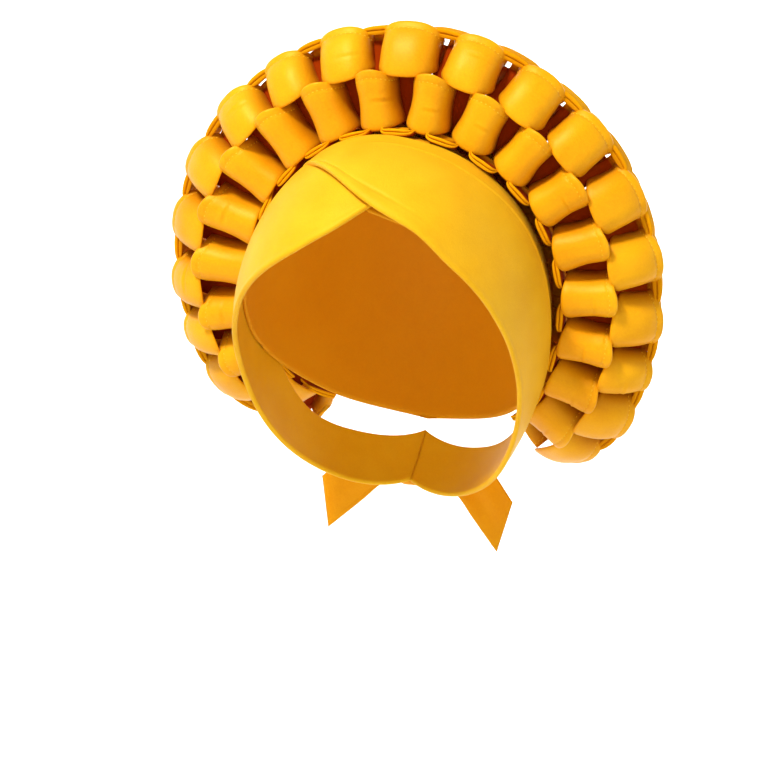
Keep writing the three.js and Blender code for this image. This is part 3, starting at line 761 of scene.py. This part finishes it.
def wrap_surface(columns, relief, ease):
    """Both faces of a wrap. relief gives how far the front edge rolls up and the outer face's own
    relief, and ease how far the wrap stands off the cap at a turn."""
    t = np.linspace(columns["turn"][0], columns["turn"][-1], 200)
    front = table(columns, "turn", "front", t)
    rear = table(columns, "turn", "rear", t)
    over = np.clip(table(columns, "turn", "over", t), 0, 1)
    share = (across_samples(97, 0.8)[None, :] + 1) / 2
    angle = front[:, None] + (rear - front)[:, None] * share
    width = np.radians(rear - front)[:, None] * WRAP_RADIUS
    from_front = share * width
    from_edge = np.minimum(from_front, width - from_front)
    direction = face_direction(np.radians(t)[:, None], np.radians(angle))
    drop = ramp(angle, 50, 72)
    drop = drop * drop * (3 - 2 * drop)
    base = WRAP_INSIDE + over[:, None] * (WRAP_THICKNESS + SEAM_GAP) * (1 - drop)
    middle = base + ease(t)[:, None] + WRAP_THICKNESS / 2
    taper = 0.25 + 0.75 * ramp(np.abs(t - t[0]), 0, 8)
    half = WRAP_THICKNESS / 2 * rounded(ramp(from_edge, 0, WRAP_EDGE)) * taper[:, None]
    roll, rise = relief(t[:, None], from_front, angle)
    return on_form(direction, middle + half + roll + rise), on_form(direction, middle - half + roll)


def over_relief(t, front, angle):
    """The front edge is a soft padded fold where it crosses the other wrap. On the wearer's left
    there is a raised seam, and the cloth steps down behind it."""
    folded = soft_step(t, 22, -7) * ramp(t, -34, -20)
    line = 2.5 + 3.6 * ramp(t, -30, 10)
    fold = folded * (0.55 * bell(front, line * 0.5, 2.2) - 0.7 * bell(front, line + 1.2, 0.8))
    fold = fold + (1 - folded) * 0.35 * bell(front, 2.0, 1.6)
    behind = np.radians(angle - table(SEAM, "turn", "angle", t)) * SEAM_RADIUS
    seamed = soft_step(t, 4, 5) * soft_step(t, 105, -8)
    seam = seamed * (0.55 * bell(behind, -0.6, 1.3) - 1.5 * soft_step(behind, 0.8, 0.35))
    drape = 0.075 * np.sin(front / 9 + t / 14) * bell(front, 25, 18)
    return 0.5 * folded * bell(front, 0, 9), fold + seam + drape


def under_relief(t, front, _angle):
    drape = 0.09 * np.sin(front / 7 - t / 15) * bell(front, 22, 16)
    return 0, 0.35 * bell(front, 2.0, 1.6) + drape


def over_ease(t):
    return 1.8 * bell(t, 75, 42)


def under_ease(t):
    return np.full(len(t), -0.7)


for wrap_name, columns, relief, ease in (
    ("wrap_under", UNDER, under_relief, under_ease),
    ("wrap_over", OVER, over_relief, over_ease),
):
    top, bottom = wrap_surface(columns, relief, ease)
    piece = thick_sheet(wrap_name + "_cloth", top, bottom, WRAP_CLOTH)
    declare(piece, [wrap_name])

# The cap: a dome of cloth with two crossing seams and a hem
CAP_RIM = {"azimuth": [0, 45, 90, 135, 180], "drop": [52, 66, 104, 122, 127]}
CAP_SECTORS, CAP_ROWS, CAP_RADIUS, CAP_CUT = 144, 60, 90.0, 0.26


def cap_grid(side):
    azimuth = np.linspace(0, 2 * np.pi, CAP_SECTORS + 1)
    from_front = 180 - np.abs(np.degrees(azimuth) - 180)
    rim = np.radians(table(CAP_RIM, "azimuth", "drop", from_front))
    share = np.maximum(1 - (1 - np.linspace(0, 1, CAP_ROWS)) ** 1.25, 1e-4)
    drop = rim[:, None] * share[None, :]
    direction = np.stack([
        np.sin(drop) * np.sin(azimuth)[:, None],
        -np.sin(drop) * np.cos(azimuth)[:, None],
        np.cos(drop),
    ], -1)
    from_rim = (rim[:, None] - drop) * CAP_RADIUS
    x, y = direction[..., 0] * CAP_RADIUS, direction[..., 1] * CAP_RADIUS
    seam = 0.7 * bell(x, 0, 0.7) + 0.25 * bell(np.abs(x), 3.0, 1.2)
    crossing = 0.7 * bell(y, 8, 0.7)
    hem = 0.5 * bell(from_rim, 9, 0.7)
    groove = np.maximum(seam, np.maximum(crossing, hem))
    lift = CAP_EASE + CAP_WALL / 2 + side * CAP_WALL / 2 * rounded(ramp(from_rim, 0, 1))
    return on_form(direction, lift - groove * (1 if side > 0 else -0.3))


piece = thick_sheet("cap_cloth", cap_grid(1), cap_grid(-1), CAP_CLOTH)
declare(piece, ["cap"])

# The knot at the nape
KNOT = (30.0, 22.0, 17.0)
KNOT_PINCH = 0.16
NAPE_ANGLE = math.radians(130)
NAPE_OUT = face_direction(np.array(math.pi), np.array(NAPE_ANGLE))
knot_seat = on_form(NAPE_OUT[None], WRAP_INSIDE + WRAP_THICKNESS + SEAM_GAP)[0]
knot_centre = knot_seat + NAPE_OUT * KNOT[2] * (1 - KNOT_PINCH) / 2


def knot_grid():
    theta = np.linspace(0, 2 * np.pi, 97)[:, None]
    phi = np.linspace(0.02, math.pi - 0.02, 56)[None, :]
    x = np.cos(phi) + 0 * theta
    pinch = 1 - KNOT_PINCH * bell(x, 0, 0.34)
    pleats = 1 + 0.035 * np.sin(7 * theta + 3.2 * x) * np.abs(x) ** 0.6
    band = 1 + 0.05 * np.exp(-((x / 0.2) ** 4))
    radius = np.sin(phi) ** 0.8 * pinch * pleats * band
    across = x * KNOT[0] / 2
    through = radius * np.cos(theta) * KNOT[2] / 2
    tall = radius * np.sin(theta) * KNOT[1] / 2
    tilt = math.pi / 2 - NAPE_ANGLE
    c, s = math.cos(tilt), math.sin(tilt)
    return np.stack([across, c * through - s * tall, s * through + c * tall], -1) + knot_centre


piece = closed_tube("tie_knot_cloth", knot_grid(), TIE_CLOTH)
declare(piece, ["tie_knot"])

# The tie ends. Their course is in shares of the length sideways and down, and of the knot to the
# front; their spread is the share of the full width along them.
TAIL_WIDTH, TAIL_THICKNESS, TAIL_LENGTH, TAIL_RUN, TAIL_EDGE = 30.0, 2.2, 50.0, 55.0, 0.9
TAIL_COURSE = [(0, 0, 0), (0.2, 0.02, -0.05), (0.42, 0.16, 0), (0.76, 0.5, 0.25)]
TAIL_SPREAD = {"row": [0, 1 / 3, 2 / 3, 1], "spread": [0.45, 0.75, 1, 1]}
TAIL_END_CUT = np.array([-0.21, 0, -0.98])


def tail(side):
    start = knot_centre[0] + KNOT[0] / 2 + SEAM_GAP
    points = [
        [side * (start + sideways * TAIL_LENGTH), knot_centre[1] - forward * KNOT[2],
         knot_centre[2] - down * TAIL_LENGTH] for sideways, down, forward in TAIL_COURSE
    ]
    t = np.linspace(0, 1, 60)
    v = across_samples(33, 0.8)
    course = spline(points, t)
    across = unit(TAIL_END_CUT) * [side, 1, 1]
    width = TAIL_WIDTH * table(TAIL_SPREAD, "row", "spread", t)
    through = unit(np.cross(unit(np.gradient(course, axis=0)), across))
    from_side = (1 - np.abs(v)) * TAIL_WIDTH / 2
    from_end = (1 - t) * TAIL_RUN
    rim = ramp(from_side, 0, TAIL_EDGE)[None, :] * ramp(from_end, 0, TAIL_EDGE)[:, None]
    half = 0.8 * TAIL_THICKNESS / 2 * rounded(rim)
    fold = 1.6 * (1 - t)[:, None] * np.sin(v * 6)[None, :]
    wave = 0.7 * np.sin(t * 5 + 1)[:, None] * v[None, :]
    hem = -0.3 * bell(from_side, 3, 0.5)[None, :] - 0.3 * bell(from_end, 4, 0.5)[:, None]
    middle = course[:, None] + across * (v[None, :] * width[:, None] / 2)[..., None]
    top = middle + through[:, None] * (fold + wave + half + hem)[..., None]
    return top, middle + through[:, None] * (fold + wave - half)[..., None]


for side, tail_name in ((1, "tie_tail_left"), (-1, "tie_tail_right")):
    top, bottom = tail(side)
    piece = thick_sheet(tail_name + "_cloth", top, bottom, TIE_CLOTH)
    declare(piece, [tail_name])

# Camera: the photograph's place, with no shift. The target is at TARGET_PX in the picture.
TARGET = Vector((0, 0, -0.0695))
SIDE_ANGLE, RISE_ANGLE, ROLL = math.radians(17), math.radians(4), math.radians(5)
DISTANCE, FOCAL_PX, PICTURE_PX, SENSOR = 1.1, 2090.0, 768, 36
TARGET_PX = (397.7, 272.0)
toward = Vector((math.sin(SIDE_ANGLE) * math.cos(RISE_ANGLE),
                 -math.cos(SIDE_ANGLE) * math.cos(RISE_ANGLE), math.sin(RISE_ANGLE)))
right = Vector((math.cos(SIDE_ANGLE), math.sin(SIDE_ANGLE), 0))
up = toward.cross(right)
rolled_right = right * math.cos(ROLL) + up * math.sin(ROLL)
rolled_up = up * math.cos(ROLL) - right * math.sin(ROLL)
aim = Matrix((rolled_right, rolled_up, toward)).transposed()
yaw = math.atan((TARGET_PX[0] - PICTURE_PX / 2) / FOCAL_PX)
pitch = math.atan((PICTURE_PX / 2 - TARGET_PX[1]) / FOCAL_PX)
aim = aim @ Matrix.Rotation(yaw, 3, "Y") @ Matrix.Rotation(-pitch, 3, "X")
camera_data = bpy.data.cameras.new("camera")
camera_data.sensor_width = SENSOR
camera_data.lens = FOCAL_PX / PICTURE_PX * SENSOR
camera = bpy.data.objects.new("camera", camera_data)
camera.matrix_world = Matrix.Translation(TARGET + toward * DISTANCE) @ aim.to_4x4()
bpy.context.scene.collection.objects.link(camera)
bpy.context.scene.camera = camera


# Lights and world
def area_light(name, place, target, size, power, colour=(1, 1, 1)):
    data = bpy.data.lights.new(name, "AREA")
    data.shape = "DISK"
    data.size = size
    data.energy = power
    data.color = colour
    obj = bpy.data.objects.new(name, data)
    obj.location = place
    direction = Vector(target) - Vector(place)
    obj.rotation_euler = direction.to_track_quat("-Z", "Y").to_euler()
    bpy.context.scene.collection.objects.link(obj)


LIT = (0, 0, -0.05)
area_light("key", (-0.55, -1.2, 1.35), LIT, size=0.36, power=37, colour=(1, 0.98, 0.94))
area_light("fill", (1.5, -1.6, 0.1), LIT, size=1.0, power=1.6)
area_light("backdrop", (0, 1.2, 1.2), (0, 2.6, 0.2), size=1.6, power=66)

world = bpy.data.worlds.new("studio")
world.use_nodes = True
world.node_tree.nodes["Background"].inputs["Color"].default_value = (1, 1, 1, 1)
world.node_tree.nodes["Background"].inputs["Strength"].default_value = 0.32
bpy.context.scene.world = world

# The floor rises into a round wall, so that the backdrop is plain from every side
FLOOR_Z, FLOOR_RADIUS, COVE_RADIUS, WALL_TOP = -0.46, 2.8, 1.2, 1.7
FLOOR_SIDES, COVE_STEPS = 64, 12
profile = []
for i in range(COVE_STEPS + 1):
    a = math.pi / 2 * i / COVE_STEPS
    profile.append((FLOOR_RADIUS - COVE_RADIUS + COVE_RADIUS * math.sin(a),
                    FLOOR_Z + COVE_RADIUS - COVE_RADIUS * math.cos(a)))
profile.append((FLOOR_RADIUS, WALL_TOP))
floor_points = [(0, 0, FLOOR_Z)]
for r, z in profile:
    for k in range(FLOOR_SIDES):
        a = 2 * math.pi * k / FLOOR_SIDES
        floor_points.append((r * math.cos(a), r * math.sin(a), z))
floor_faces = [(0, 1 + k, 1 + (k + 1) % FLOOR_SIDES) for k in range(FLOOR_SIDES)]
for i in range(len(profile) - 1):
    for k in range(FLOOR_SIDES):
        a, b = 1 + i * FLOOR_SIDES + k, 1 + i * FLOOR_SIDES + (k + 1) % FLOOR_SIDES
        floor_faces.append((a, a + FLOOR_SIDES, b + FLOOR_SIDES, b))
floor_mesh = bpy.data.meshes.new("floor")
floor_mesh.from_pydata(floor_points, [], floor_faces)
floor_mesh.polygons.foreach_set("use_smooth", [True] * len(floor_mesh.polygons))
floor = bpy.data.objects.new("floor", floor_mesh)
bpy.context.scene.collection.objects.link(floor)
floor_mat = bpy.data.materials.new("floor_paint")
floor_mat.use_nodes = True
floor_shader = floor_mat.node_tree.nodes["Principled BSDF"]
floor_shader.inputs["Base Color"].default_value = (0.9, 0.9, 0.89, 1)
floor_shader.inputs["Roughness"].default_value = 0.9
floor_mesh.materials.append(floor_mat)

bpy.context.scene.view_settings.view_transform = "Standard"
